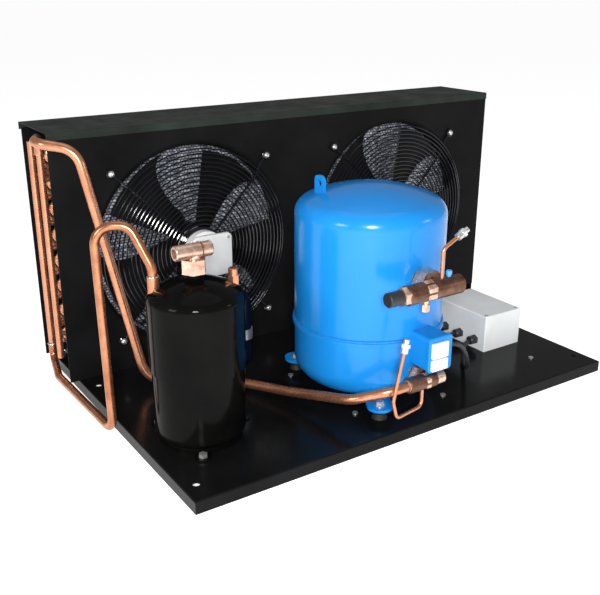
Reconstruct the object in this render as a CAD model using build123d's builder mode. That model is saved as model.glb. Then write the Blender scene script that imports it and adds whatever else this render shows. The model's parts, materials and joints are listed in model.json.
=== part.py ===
from build123d import *
import math
import os

os.makedirs("parts", exist_ok=True)

# Air-cooled refrigeration condensing unit.
# Millimetres, +X to the right, +Y to the back, +Z up.
# The origin is the middle of the base pan's footprint, on the floor.

# ---- driving dimensions ----
base_width = 914.0
base_depth = 650.0
base_height = 22.0
base_sheet = 3.0
stiffener_width = 60.0
stiffener_spacing = 330.0
stiffener_sheet = 2.0
mount_hole = 6.0
mount_inset_x = 24.0
mount_inset_front = 44.0
mount_spacing_y = 410.0

housing_width = 1054.0
housing_depth = 159.0
housing_height = 477.0
housing_overhang_left = 18.0
housing_sheet = 1.5
cover_lip = 14.0
end_recess = 38.0
support_foot = 60.0

fan_pitch = 500.0
fan_height = 228.0
fan_radius = 200.0
ring_flare = 12.0
ring_depth = 42.0
blade_gap = 7.0
blade_count = 5
blade_depth = 36.0
blade_sheet = 2.0
blade_camber = 9.0
blade_front = 3.0
blade_span = 46.0
blade_turn = 88.0
blade_root = 36.0
hub_radius = 44.0
hub_depth = 30.0
hub_round = 6.0
motor_radius = 41.0
motor_length = 70.0
motor_gap = 2.0
shaft_radius = 6.0
shaft_reach = 40.0
running_gap = 0.05
guard_wire = 2.0
guard_arm_wire = 2.6
guard_rings = 5
guard_reach = 165.5
guard_rise = 34.0
guard_screw = 5.0
screw_shank = 2.5
screw_height = 3.0

coil_gap = 56.0
coil_thickness = 88.0
tube_pitch = 25.4
row_pitch = 22.0
tube_rows = 4
tubes_per_row = 16
tube_radius = 4.8
ripple_depth = 2.5
sheet_gap = 0.4
header_radius = 6.5
header_out = 33.0
gas_header_back = 61.0
liquid_header_back = 112.0

compressor_from_left = 461.0
valve_room = 51.0
shell_radius = 137.0
shell_top = 410.0
crown_radius = 300.0
knuckle_radius = 30.0
seam_height = 160.0
seam_lip = 3.5
seam_band = 10.0
bowl_bottom = 46.0
bowl_corner = 42.0
foot_circle = 147.0
foot_sheet = 5.0
foot_pad = 19.0
foot_angle = 2.0
grommet_radius = 14.0
foot_bolt = 4.0

terminal_box_width = 50.0
terminal_box_shift = 14.0
terminal_box_height = 62.0
terminal_box_bottom = 114.0
terminal_box_reach = 34.0
terminal_cover = 8.0

suction_height = 268.0
suction_valve_radius = 17.0
suction_back = 71.0
suction_neck = 89.0
suction_cap = 109.0
suction_out = 47.0
suction_bore = 14.3
suction_bore_depth = 22.0
suction_spigot = 15.0
suction_joint = 28.0
suction_flats = 46.0
nut_reach = 12.0

discharge_height = 94.0
discharge_stand = 14.0
discharge_valve_radius = 14.0
discharge_back = 14.0
discharge_neck = 23.0
discharge_cap = 33.0
discharge_out = 46.0
discharge_spigot = 12.0
discharge_joint = 20.0
discharge_flats = 38.0

receiver_from_left = 103.0
receiver_from_front = 181.0
receiver_radius = 79.5
receiver_step = 2.5
receiver_seam = 150.0
receiver_top = 302.0
receiver_crown = 140.0
receiver_knuckle = 18.0
receiver_corner = 18.0
receiver_lift = 6.0
receiver_skirt = 68.0
receiver_lug_circle = 84.0
receiver_lug_angle = -115.0
receiver_valve_rise = 45.0
receiver_valve_radius = 12.5
receiver_back = 12.5
receiver_neck = 21.5
receiver_cap = 31.5
receiver_out = 33.0
receiver_spigot = 11.0
receiver_joint = 24.0
receiver_flats = 36.0
outlet_bore = 8.0
outlet_bore_depth = 14.0
relief_circle = 66.0
relief_angle = -8.0
inlet_circle = 65.0
inlet_angle = 157.0
inlet_radius = 9.5
inlet_rise = 6.0

drier_from_left = 275.0
drier_from_front = 332.0
drier_radius = 15.0
drier_bottom = 44.0
drier_length = 160.0

gas_pipe = 9.0
liquid_pipe = 7.5
small_pipe = 3.2
braze_gap = 0.1
braze_depth = 12.0

box_from_left = 748.0
box_from_front = 160.0
box_width = 102.0
box_length = 150.0
box_height = 77.0
box_wall = 2.5
box_lid = 16.0
gland_radius = 9.0
gland_length = 16.0
gland_thread = 6.0
gland_height = 42.0
gland_places = [28.0, 72.0, 116.0]
panel_exit_height = 60.0
cable_radius = 4.2
touch = 0.3

# ---- places that follow from them ----
left = -base_width / 2
right = base_width / 2
front = -base_depth / 2
back = base_depth / 2
deck = base_height

housing_left = left - housing_overhang_left
housing_right = housing_left + housing_width
housing_top = deck + housing_height
panel_y = back - housing_depth
fan_z = deck + fan_height
fan_xs = [
    (housing_left + housing_right) / 2 - fan_pitch / 2,
    (housing_left + housing_right) / 2 + fan_pitch / 2,
]
coil_y = panel_y + coil_gap
coil_left = housing_left + end_recess
coil_right = housing_right - 14.0
coil_bottom = deck + 8.0
coil_top = housing_top - 9.0

receiver_valve_height = receiver_top + receiver_valve_rise
inlet_height = receiver_top + inlet_rise
compressor_x = left + compressor_from_left
compressor_y = front + valve_room + shell_radius
receiver_x = left + receiver_from_left
receiver_y = front + receiver_from_front
drier_x = left + drier_from_left
drier_y = front + drier_from_front
box_x = left + box_from_left
box_y = front + box_from_front


def around(cx, cy, radius, angle):
    """A point on a circle about an upright axis."""
    turn = math.radians(angle)
    return (cx + radius * math.cos(turn), cy + radius * math.sin(turn))


# ================= base =================
thirds = [0.0, 120.0, 240.0]
feet_places = [around(compressor_x, compressor_y, foot_circle, foot_angle + third) for third in thirds]
lug_places = [
    around(receiver_x, receiver_y, receiver_lug_circle, receiver_lug_angle + third) for third in thirds
]
mount_y = front + mount_inset_front + mount_spacing_y / 2
mount_spacing_x = base_width - 2 * mount_inset_x

with BuildPart() as base_pan:
    with BuildSketch():
        Rectangle(base_width, base_depth)
    extrude(amount=base_height)
    fillet(base_pan.faces().sort_by(Axis.Z)[-1].edges(), radius=base_sheet * 0.9)
    with BuildSketch():
        Rectangle(base_width - 2 * base_sheet, base_depth - 2 * base_sheet)
    extrude(amount=base_height - base_sheet, mode=Mode.SUBTRACT)
    with BuildSketch(Plane.XY.offset(deck - base_sheet)):
        with Locations((0, mount_y)):
            with GridLocations(mount_spacing_x, mount_spacing_y, 2, 2):
                Circle(mount_hole)
        with Locations(*feet_places):
            Circle(foot_bolt + touch)
        with Locations(*lug_places):
            Circle(foot_bolt + touch)
    extrude(amount=base_sheet, mode=Mode.SUBTRACT)

# Pan-head screws fasten the deck to what lies beneath it.
deck_screw_places = [
    (left + 364.0, front + 92.0),
    (left + 543.0, front + 59.0),
    (left + 807.0, front + 85.0),
    (left + 353.0, front + 287.0),
]
with BuildPart() as deck_screws:
    with BuildSketch(Plane.XY.offset(deck)):
        with Locations(*deck_screw_places):
            Circle(guard_screw)
    extrude(amount=screw_height)

# Three hat channels stiffen the pan and carry the unit on the floor.
with BuildPart() as base_stiffeners:
    with BuildSketch():
        with GridLocations(stiffener_spacing, 0, 3, 1):
            Rectangle(stiffener_width, base_depth - 2 * base_sheet - 8.0)
    extrude(amount=deck - base_sheet)
    with BuildSketch(Plane.XY.offset(stiffener_sheet)):
        with GridLocations(stiffener_spacing, 0, 3, 1):
            Rectangle(stiffener_width - 2 * stiffener_sheet, base_depth)
    extrude(amount=deck - base_sheet - stiffener_sheet, mode=Mode.SUBTRACT)

# ================= condenser housing =================
panel_middle = (housing_left + housing_right) / 2
front_plane = Plane(origin=(panel_middle, panel_y, deck), x_dir=(1, 0, 0), z_dir=(0, -1, 0))


def fan_axis_plane(x):
    return Plane(origin=(x, panel_y, fan_z), x_dir=(1, 0, 0), z_dir=(0, 0, 1))


def fan_face_plane(x, behind):
    return Plane(origin=(x, panel_y + behind, fan_z), x_dir=(1, 0, 0), z_dir=(0, -1, 0))


# The sheet carries both drawn inlet rings.
with BuildPart() as fan_panel:
    with BuildSketch(front_plane):
        with Locations((0, (housing_height - housing_sheet) / 2)):
            Rectangle(housing_width - 2 * sheet_gap, housing_height - housing_sheet - 2 * sheet_gap)
        with Locations((-fan_pitch / 2, fan_height), (fan_pitch / 2, fan_height)):
            Circle(fan_radius + ring_flare, mode=Mode.SUBTRACT)
        with Locations((-fan_pitch / 2, fan_height), (fan_pitch / 2, fan_height)):
            with GridLocations(2 * guard_reach, 2 * guard_reach, 2, 2):
                Circle(screw_shank + touch, mode=Mode.SUBTRACT)
        with Locations((0, panel_exit_height - deck)):
            Circle(gland_thread, mode=Mode.SUBTRACT)
    extrude(amount=-housing_sheet)
    for x in fan_xs:
        with BuildSketch(fan_axis_plane(x)) as ring_profile:
            with BuildLine():
                Line((fan_radius + ring_flare, 0), (fan_radius + ring_flare, housing_sheet))
                RadiusArc(
                    (fan_radius + ring_flare, housing_sheet),
                    (fan_radius + housing_sheet, ring_flare),
                    ring_flare - housing_sheet,
                )
                Line((fan_radius + housing_sheet, ring_flare), (fan_radius + housing_sheet, ring_depth))
                Line((fan_radius + housing_sheet, ring_depth), (fan_radius, ring_depth))
                Line((fan_radius, ring_depth), (fan_radius, ring_flare))
                RadiusArc((fan_radius, ring_flare), (fan_radius + ring_flare, 0), -ring_flare)
            make_face()
        revolve(axis=Axis((x, panel_y, fan_z), (0, 1, 0)))

# The cover is folded down over the panel's top edge and at the back.
with BuildPart() as top_cover:
    with BuildSketch(Plane(origin=(housing_left, panel_y, housing_top), x_dir=(0, 1, 0), z_dir=(1, 0, 0))):
        Rectangle(housing_depth + housing_sheet, housing_sheet, align=(Align.MIN, Align.MAX))
        with Locations((-housing_sheet, 0)):
            Rectangle(housing_sheet, cover_lip, align=(Align.MIN, Align.MAX))
        with Locations((housing_depth, 0)):
            Rectangle(housing_sheet, cover_lip, align=(Align.MIN, Align.MAX))
    extrude(amount=housing_width)
    fillet(top_cover.edges().filter_by(Axis.X).group_by(Axis.Z)[-1], radius=housing_sheet * 0.9)

# The right end runs down past the base pan to the floor and ends in a foot.
end_sheet = 2.0
end_gap = housing_sheet + sheet_gap
end_plane = Plane(
    origin=(housing_right - end_sheet, panel_y + end_gap, 0), x_dir=(0, 1, 0), z_dir=(1, 0, 0)
)
with BuildPart() as right_end_panel:
    with BuildSketch(end_plane):
        Rectangle(
            housing_depth - 2 * end_gap,
            housing_top - housing_sheet,
            align=(Align.MIN, Align.MIN),
        )
    extrude(amount=end_sheet)
    with BuildSketch():
        with Locations((housing_right, panel_y + end_gap)):
            Rectangle(support_foot, housing_depth - 2 * end_gap, align=(Align.MAX, Align.MIN))
    extrude(amount=end_sheet)

# A channel under the coil carries it on the pan and bridges to the right end.
channel_wall = 2.0
with BuildPart() as coil_channel:
    with BuildSketch(Plane(origin=(coil_left, coil_y, deck), x_dir=(0, 1, 0), z_dir=(1, 0, 0))):
        Rectangle(coil_thickness, coil_bottom - deck, align=(Align.MIN, Align.MIN))
        with Locations((channel_wall, 0)):
            Rectangle(
                coil_thickness - 2 * channel_wall,
                coil_bottom - deck - channel_wall,
                align=(Align.MIN, Align.MIN),
                mode=Mode.SUBTRACT,
            )
    extrude(amount=coil_right - coil_left)

# The fin pack is rippled along its tube rows, half a tube pitch apart.
ripple_pitch = tube_pitch / 2
ripple_count = int((coil_top - coil_bottom) / ripple_pitch)
fin_plane = Plane(
    origin=(coil_left + end_sheet, coil_y, coil_bottom), x_dir=(0, 1, 0), z_dir=(1, 0, 0)
)
with BuildPart() as coil_fins:
    with BuildSketch(fin_plane):
        Rectangle(coil_thickness, coil_top - coil_bottom, align=(Align.MIN, Align.MIN))
        for row in range(ripple_count):
            groove = (row + 0.5) * ripple_pitch
            for edge, inwards in ((0, 1), (coil_thickness, -1)):
                with BuildLine():
                    Polyline(
                        (edge, groove - ripple_pitch * 0.3),
                        (edge + inwards * ripple_depth, groove),
                        (edge, groove + ripple_pitch * 0.3),
                        close=True,
                    )
                make_face(mode=Mode.SUBTRACT)
    extrude(amount=coil_right - coil_left - 2 * end_sheet)


# The end plates close the fin pack, and the left one is folded out behind the bends.
with BuildPart() as tube_sheets:
    for x in (coil_left, coil_right - end_sheet):
        with BuildSketch(Plane.XY.offset(coil_bottom)):
            with Locations((x, coil_y)):
                Rectangle(end_sheet, coil_thickness, align=(Align.MIN, Align.MIN))
        extrude(amount=coil_top - coil_bottom)
    with BuildSketch(Plane.XY.offset(coil_bottom)):
        with Locations((housing_left, coil_y + coil_thickness)):
            Rectangle(end_recess + end_sheet, end_sheet, align=(Align.MIN, Align.MIN))
    extrude(amount=coil_top - coil_bottom)

# Return bends join the tubes in pairs outside the left end plate.
tube_first = coil_bottom + (coil_top - coil_bottom - (tubes_per_row - 1) * tube_pitch) / 2
row_first = coil_y + (coil_thickness - (tube_rows - 1) * row_pitch) / 2
with BuildPart() as return_bends:
    for row in range(tube_rows):
        shift = (row % 2) * tube_pitch / 2
        for pair in range(tubes_per_row // 2):
            z = tube_first + (2 * pair + 0.5) * tube_pitch - tube_pitch / 4 + shift
            bend_plane = Plane(
                origin=(coil_left, row_first + row * row_pitch, z), x_dir=(-1, 0, 0), z_dir=(0, 1, 0)
            )
            with BuildSketch(bend_plane):
                RegularPolygon(tube_pitch / 2 + tube_radius, 12)
                RegularPolygon(tube_pitch / 2 - tube_radius, 12, mode=Mode.SUBTRACT)
                Rectangle(60, 60, align=(Align.MAX, Align.CENTER), mode=Mode.SUBTRACT)
            extrude(amount=tube_radius * 0.8, both=True)


feeder_places = [tube_first + (2 * pair + 1.25) * tube_pitch for pair in (0, 6)]


def header(y, low, high):
    """A header tube on end, with feeders that reach the end plate between the bends."""
    with BuildPart() as manifold:
        with BuildSketch(Plane.XY.offset(low)):
            with Locations((coil_left - header_out, y)):
                Circle(header_radius)
        extrude(amount=high - low)
        for z in feeder_places:
            with BuildSketch(Plane(origin=(coil_left - header_out, y, z), x_dir=(0, 1, 0), z_dir=(1, 0, 0))):
                Circle(tube_radius)
            extrude(amount=header_out)
    return manifold.part


gas_header_y = panel_y + gas_header_back
liquid_header_y = panel_y + liquid_header_back
header_x = coil_left - header_out
gas_header_top = housing_top - 46.0
liquid_header_low = deck + 42.0
with BuildPart() as gas_header:
    add(header(gas_header_y, deck + 30.0, gas_header_top))
with BuildPart() as liquid_header:
    add(header(liquid_header_y, liquid_header_low, housing_top - 30.0))

# ================= fans =================
hub_front = panel_y + blade_front
motor_back = hub_front - motor_gap


def fan_blade(x):
    """One cambered blade, cut to a sickle outline."""
    tip = fan_radius - blade_gap
    half_chord = tip * math.sin(math.radians(blade_span / 2))
    with BuildPart() as blade:
        with BuildSketch(
            Plane(origin=(x + blade_root, panel_y + blade_front, fan_z), x_dir=(0, 0, 1), z_dir=(1, 0, 0))
        ):
            with BuildLine():
                windward = ThreePointArc(
                    (-half_chord, -blade_sheet),
                    (0, -blade_depth / 2 - blade_camber),
                    (half_chord, -blade_depth),
                )
                leeward = ThreePointArc(
                    (-half_chord, 0),
                    (0, -blade_depth / 2 - blade_camber + blade_sheet),
                    (half_chord, -blade_depth + blade_sheet),
                )
                Line(windward @ 0, leeward @ 0)
                Line(windward @ 1, leeward @ 1)
            make_face()
        extrude(amount=tip)
        with BuildSketch(fan_face_plane(x, blade_front)):
            with BuildLine():
                root_low = (blade_root, -blade_root * 0.6)
                root_high = (blade_root, blade_root * 0.6)
                tip_low = (tip * math.cos(math.radians(blade_span / 2)), -half_chord)
                tip_high = (tip_low[0], half_chord)
                Line(root_high, root_low)
                ThreePointArc(root_low, (tip * 0.50, -tip * 0.345), tip_low)
                ThreePointArc(tip_low, (tip, 0), tip_high)
                ThreePointArc(tip_high, (tip * 0.58, tip * 0.285), root_high)
            make_face()
        extrude(amount=-ring_depth * 2, mode=Mode.INTERSECT)
    return blade.part


def fan_rotor(x):
    """A hub with its shaft and its ring of blades."""
    axis = Axis((x, panel_y, fan_z), (0, 1, 0))
    blade = fan_blade(x)
    with BuildPart() as rotor:
        with BuildSketch(fan_face_plane(x, blade_front)):
            Circle(hub_radius)
        extrude(amount=-hub_depth)
        fillet(rotor.edges().group_by(Axis.Y)[-1], radius=hub_round)
        with BuildSketch(fan_face_plane(x, blade_front)):
            Circle(shaft_radius)
        extrude(amount=motor_gap + shaft_reach)
        for n in range(blade_count):
            add(blade.rotate(axis, blade_turn + n * 360.0 / blade_count))
    return rotor.part


def fan_motor(x):
    """A round motor body with a stepped nose, bored for the fan's shaft."""
    with BuildPart() as motor:
        with BuildSketch(Plane(origin=(x, motor_back, fan_z), x_dir=(1, 0, 0), z_dir=(0, 0, 1))):
            with BuildLine():
                Polyline(
                    (0, 0),
                    (motor_radius - 6, 0),
                    (motor_radius, -6),
                    (motor_radius, -motor_length * 0.68),
                    (motor_radius - 5, -motor_length * 0.72),
                    (motor_radius - 5, -motor_length + 8),
                    (motor_radius - 13, -motor_length),
                    (0, -motor_length),
                    close=True,
                )
            make_face()
        revolve(axis=Axis((x, motor_back, fan_z), (0, 1, 0)))
        with BuildSketch(Plane(origin=(x, motor_back, fan_z), x_dir=(1, 0, 0), z_dir=(0, -1, 0))):
            Circle(shaft_radius + running_gap)
        extrude(amount=shaft_reach + motor_gap, mode=Mode.SUBTRACT)
    return motor.part


def fan_guard(x):
    """A basket guard: rings on four bent arms that grip the motor and end in screw eyes."""
    axis = Axis((x, panel_y, fan_z), (0, 1, 0))
    clamp_rise = panel_y - motor_back + motor_length * 0.40
    rim = fan_radius + ring_flare
    foot_reach = guard_reach * math.sqrt(2)
    eye_rise = guard_arm_wire + touch
    inner = motor_radius + 3.0
    brow = rim * 0.88
    brow_rise = guard_rise * 0.52
    front_of = Plane(origin=(x, panel_y, fan_z), x_dir=(1, 0, 0), z_dir=(0, 0, 1))
    with BuildPart() as arm:
        with BuildLine(front_of) as arm_line:
            FilletPolyline(
                (inner, -clamp_rise),
                (brow, -brow_rise),
                (rim, -eye_rise),
                (foot_reach - guard_screw, -eye_rise),
                radius=10.0,
            )
        with BuildSketch(Plane(origin=arm_line.line @ 0, z_dir=arm_line.line % 0)):
            RegularPolygon(guard_arm_wire, 6)
        sweep(path=arm_line.line)
        with BuildSketch(Plane(origin=(x + foot_reach, panel_y, fan_z), x_dir=(1, 0, 0), z_dir=(0, -1, 0))):
            Circle(guard_screw * 2.0)
        extrude(amount=guard_arm_wire * 1.6)
        with BuildSketch(Plane(origin=(x + foot_reach, panel_y, fan_z), x_dir=(1, 0, 0), z_dir=(0, -1, 0))):
            Circle(screw_shank + touch)
        extrude(amount=guard_arm_wire * 1.6, mode=Mode.SUBTRACT)
    with BuildPart() as guard:
        with BuildSketch(fan_face_plane(x, -clamp_rise)):
            Circle(motor_radius + 4.0)
            Circle(motor_radius + 0.2, mode=Mode.SUBTRACT)
        extrude(amount=4.0, both=True)
        for n in range(4):
            add(arm.part.rotate(axis, 45.0 + 90.0 * n))
    with BuildPart() as rings:
        for n in range(guard_rings):
            ring_r = inner + 8.0 + (brow - inner - 8.0) * n / (guard_rings - 1)
            ring_rise = clamp_rise + (brow_rise - clamp_rise) * (ring_r - inner) / (brow - inner)
            with BuildSketch(front_of):
                with Locations((ring_r, -ring_rise - guard_arm_wire - guard_wire - 0.05)):
                    RegularPolygon(guard_wire, 4)
            revolve(axis=axis)
    return [guard.part] + list(rings.part.solids())


fan_rotors = [fan_rotor(x) for x in fan_xs]
fan_motors = [fan_motor(x) for x in fan_xs]
fan_guards = [Compound(children=fan_guard(x)) for x in fan_xs]

# Pan-head screws hold the guards' eyes to the panel.
with BuildPart() as guard_screws:
    for x in fan_xs:
        with BuildSketch(fan_face_plane(x, -guard_arm_wire * 1.6)):
            with GridLocations(2 * guard_reach, 2 * guard_reach, 2, 2):
                Circle(guard_screw)
        extrude(amount=screw_height)
        with BuildSketch(fan_face_plane(x, -guard_arm_wire * 1.6)):
            with GridLocations(2 * guard_reach, 2 * guard_reach, 2, 2):
                Circle(screw_shank)
        extrude(amount=-(guard_arm_wire * 1.6 + housing_sheet + 4.0))

# ================= compressor =================
shell_drop = math.sqrt((crown_radius - knuckle_radius) ** 2 - (shell_radius - knuckle_radius) ** 2)
shoulder_z = shell_top + shell_drop - crown_radius
knuckle_angle = math.degrees(math.atan2(shell_drop, shell_radius - knuckle_radius))
compressor_axis = Axis((compressor_x, compressor_y, 0), (0, 0, 1))
compressor_section = Plane(origin=(compressor_x, compressor_y, 0), x_dir=(1, 0, 0), z_dir=(0, -1, 0))

with BuildPart() as compressor_upper_shell:
    with BuildSketch(compressor_section):
        with BuildLine():
            wall = Line((shell_radius, seam_height), (shell_radius, shoulder_z))
            knuckle = CenterArc(
                (shell_radius - knuckle_radius, shoulder_z), knuckle_radius, 0, knuckle_angle
            )
            crown = CenterArc(
                (0, shell_top - crown_radius), crown_radius, knuckle_angle, 90 - knuckle_angle
            )
            Polyline(crown @ 1, (0, seam_height), wall @ 0)
        make_face()
    revolve(axis=compressor_axis)

with BuildPart() as compressor_lower_shell:
    with BuildSketch(compressor_section):
        with BuildLine():
            Polyline(
                (0, bowl_bottom),
                (shell_radius - bowl_corner, bowl_bottom),
            )
            CenterArc((shell_radius - bowl_corner, bowl_bottom + bowl_corner), bowl_corner, -90, 90)
            Polyline(
                (shell_radius, bowl_bottom + bowl_corner),
                (shell_radius, seam_height - seam_band),
                (shell_radius + seam_lip, seam_height - seam_band + 2.0),
                (shell_radius + seam_lip, seam_height - 2.0),
                (shell_radius + 1.0, seam_height),
                (0, seam_height),
                (0, bowl_bottom),
            )
        make_face()
    revolve(axis=compressor_axis)

# A pressed plate with three arms is welded under the bowl and stands on rubber.
foot_plate_z = bowl_bottom - foot_sheet
arm_width = 46.0
with BuildPart() as compressor_feet:
    with BuildSketch(Plane.XY.offset(foot_plate_z)):
        with Locations((compressor_x, compressor_y)):
            Circle(shell_radius - bowl_corner)
            with PolarLocations(foot_circle / 2, 3, start_angle=foot_angle):
                Rectangle(foot_circle, arm_width)
        with Locations(*feet_places):
            Circle(arm_width / 2)
            Circle(foot_bolt + touch, mode=Mode.SUBTRACT)
    extrude(amount=foot_sheet)

washer = 2.0
bolt_head = 6.0
with BuildPart() as foot_grommets:
    for place in feet_places:
        with BuildSketch(Plane(origin=(place[0], place[1], 0), x_dir=(1, 0, 0), z_dir=(0, -1, 0))):
            with BuildLine():
                Polyline(
                    (foot_bolt + touch, deck),
                    (grommet_radius, deck),
                    (grommet_radius - 2.5, deck + foot_pad / 2),
                    (grommet_radius, foot_plate_z),
                    (foot_bolt + touch, foot_plate_z),
                    close=True,
                )
            make_face()
        revolve(axis=Axis((place[0], place[1], 0), (0, 0, 1)))

with BuildPart() as foot_bolts:
    with BuildSketch(Plane.XY.offset(bowl_bottom)):
        with Locations(*feet_places):
            Circle(foot_bolt * 2.6)
    extrude(amount=washer)
    with BuildSketch(Plane.XY.offset(bowl_bottom + washer)):
        with Locations(*feet_places):
            RegularPolygon(foot_bolt * 1.85, 6)
    extrude(amount=bolt_head)
    with BuildSketch(Plane.XY.offset(bowl_bottom)):
        with Locations(*feet_places):
            Circle(foot_bolt)
    extrude(amount=-(bowl_bottom - deck + base_sheet))

# A lug for lifting is welded on the dome.
lug_place = around(compressor_x, compressor_y, 90.0, 155.0)
lug_height = 54.0
lug_width = 28.0
lug_sheet = 5.0
lug_eye = 6.0
lug_rise = 17.0
with BuildPart() as lifting_lug:
    with BuildSketch(
        Plane(origin=(lug_place[0], lug_place[1], shell_top + lug_rise), x_dir=(0, -1, 0), z_dir=(-1, 0, 0))
    ):
        with Locations((0, -lug_height / 2)):
            RectangleRounded(lug_width, lug_height, 10.0)
        with Locations((0, -lug_width / 2)):
            Circle(lug_eye, mode=Mode.SUBTRACT)
    extrude(amount=lug_sheet)
    add(compressor_upper_shell.part, mode=Mode.SUBTRACT)

terminal_x = compressor_x + terminal_box_shift
terminal_y = front + terminal_cover
terminal_wall = 2.0
terminal_plane = Plane(
    origin=(terminal_x, terminal_y, terminal_box_bottom + terminal_box_height / 2),
    x_dir=(1, 0, 0),
    z_dir=(0, -1, 0),
)
terminal_exit = Plane(
    origin=(terminal_x + terminal_box_width / 2, front + 26.0, terminal_plane.origin.Z),
    z_dir=(1, 0, 0),
)
with BuildPart() as compressor_terminal_box:
    with BuildSketch(terminal_plane):
        RectangleRounded(terminal_box_width, terminal_box_height, 6.0)
        RectangleRounded(
            terminal_box_width - 2 * terminal_wall,
            terminal_box_height - 2 * terminal_wall,
            4.0,
            mode=Mode.SUBTRACT,
        )
    extrude(amount=-(terminal_box_reach + 22.0))
    with BuildSketch(terminal_exit):
        Circle(gland_thread)
    extrude(amount=-terminal_wall, mode=Mode.SUBTRACT)
    add(compressor_upper_shell.part, mode=Mode.SUBTRACT)
    add(compressor_lower_shell.part, mode=Mode.SUBTRACT)
with BuildPart() as compressor_terminal_cover:
    with BuildSketch(terminal_plane):
        RectangleRounded(terminal_box_width + 3.0, terminal_box_height + 3.0, 7.0)
    extrude(amount=terminal_cover)
    fillet(compressor_terminal_cover.faces().sort_by(Axis.Y)[0].edges(), radius=3.0)

# ================= service valves =================
stem_radius = 5.0
stem_square = 6.4
stem_square_length = 6.0
cap_wall = 3.0
cap_cover = 8.0
nut_wall = 0.2


def valve_body(plane, radius, back_end, neck_end, out_end, bore, bore_depth, spigot, joint):
    """A bar with its outlet socket, stem bonnet and the spigot that the nut holds."""
    bar = Axis(plane.origin, plane.x_dir)
    neck = stem_radius + 4.0
    lip = 1.5
    with BuildPart() as body:
        with BuildSketch(plane):
            with BuildLine():
                Polyline(
                    (-neck_end, 0),
                    (-neck_end, neck),
                    (-back_end, neck),
                    (-back_end, radius - lip),
                    (-back_end + lip, radius),
                    (out_end - lip, radius),
                    (out_end, radius - lip),
                    (out_end, 0),
                    close=True,
                )
            make_face()
        revolve(axis=bar)
        with BuildSketch(Plane(origin=plane.origin, x_dir=plane.x_dir, z_dir=-plane.y_dir)):
            Circle(spigot)
        extrude(amount=joint)
        with BuildSketch(Plane(origin=plane.origin + plane.x_dir * out_end, z_dir=plane.x_dir)):
            Circle(bore)
        extrude(amount=-bore_depth, mode=Mode.SUBTRACT)
        with BuildSketch(Plane(origin=plane.origin - plane.x_dir * neck_end, z_dir=-plane.x_dir)):
            Circle(stem_radius + running_gap)
        extrude(amount=-(neck_end - back_end + radius), mode=Mode.SUBTRACT)
    return body.part


def valve_nut(plane, spigot, near, far, flats):
    """A hexagon nut around the spigot and the stub that it draws together."""
    with BuildPart() as nut:
        face = plane.origin - plane.y_dir * near
        with BuildSketch(Plane(origin=face, x_dir=plane.x_dir, z_dir=-plane.y_dir)):
            RegularPolygon(flats / 2, 6, major_radius=False)
            Circle(spigot + nut_wall, mode=Mode.SUBTRACT)
        extrude(amount=far - near)
    return nut.part


def valve_stem(plane, radius, back_end, neck_end):
    """A round stem that ends in a square for the key."""
    with BuildPart() as stem:
        with BuildSketch(Plane(origin=plane.origin - plane.x_dir * neck_end, z_dir=-plane.x_dir)):
            Circle(stem_radius)
        extrude(amount=-(neck_end - back_end + radius - 1.0))
        with BuildSketch(Plane(origin=plane.origin - plane.x_dir * neck_end, z_dir=-plane.x_dir)):
            Rectangle(stem_square, stem_square)
        extrude(amount=stem_square_length)
    return stem.part


def valve_cap(plane, neck_end, cap_end):
    """A closed cap that slips over the bonnet."""
    neck = stem_radius + 4.0
    mouth = Plane(origin=plane.origin - plane.x_dir * (neck_end - cap_cover), z_dir=-plane.x_dir)
    with BuildPart() as cap:
        with BuildSketch(mouth):
            Circle(neck + touch + cap_wall)
        extrude(amount=cap_end - neck_end + cap_cover)
        chamfer(cap.faces().sort_by_distance(plane.origin - plane.x_dir * cap_end)[0].edges(), length=1.5)
        with BuildSketch(mouth):
            Circle(neck + touch)
        extrude(amount=cap_end - neck_end + cap_cover - cap_wall, mode=Mode.SUBTRACT)
    return cap.part


def stub(plane, spigot, joint, wall):
    """The welded stub that the valve's spigot meets."""
    with BuildPart() as tube:
        with BuildSketch(Plane(origin=plane.origin - plane.y_dir * joint, z_dir=-plane.y_dir)):
            Circle(spigot)
        extrude(amount=wall - joint)
    return tube.part


suction_plane = Plane(
    origin=(compressor_x, front, suction_height), x_dir=(1, 0, 0), z_dir=(0, 0, -1)
)
discharge_plane = Plane(
    origin=(compressor_x, front + discharge_stand, discharge_height), x_dir=(-1, 0, 0), z_dir=(0, 0, 1)
)
receiver_plane = Plane(
    origin=(receiver_x, receiver_y, receiver_valve_height), x_dir=(-1, 0, 0), z_dir=(0, 1, 0)
)

with BuildPart() as suction_valve_body:
    add(
        valve_body(
            suction_plane,
            suction_valve_radius,
            suction_back,
            suction_neck,
            suction_out,
            suction_bore,
            suction_bore_depth,
            suction_spigot,
            suction_joint,
        )
    )
with BuildPart() as suction_valve_nut:
    add(
        valve_nut(
            suction_plane,
            suction_spigot,
            suction_valve_radius,
            suction_joint + nut_reach,
            suction_flats,
        )
    )
with BuildPart() as suction_valve_stem:
    add(valve_stem(suction_plane, suction_valve_radius, suction_back, suction_neck))
with BuildPart() as suction_valve_cap:
    add(valve_cap(suction_plane, suction_neck, suction_cap))

with BuildPart() as discharge_valve_body:
    add(
        valve_body(
            discharge_plane,
            discharge_valve_radius,
            discharge_back,
            discharge_neck,
            discharge_out,
            gas_pipe + braze_gap,
            braze_depth,
            discharge_spigot,
            discharge_joint,
        )
    )
with BuildPart() as discharge_valve_nut:
    add(
        valve_nut(
            discharge_plane,
            discharge_spigot,
            discharge_valve_radius,
            discharge_joint + nut_reach / 2,
            discharge_flats,
        )
    )
with BuildPart() as discharge_valve_stem:
    add(valve_stem(discharge_plane, discharge_valve_radius, discharge_back, discharge_neck))
with BuildPart() as discharge_valve_cap:
    add(valve_cap(discharge_plane, discharge_neck, discharge_cap))

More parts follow.
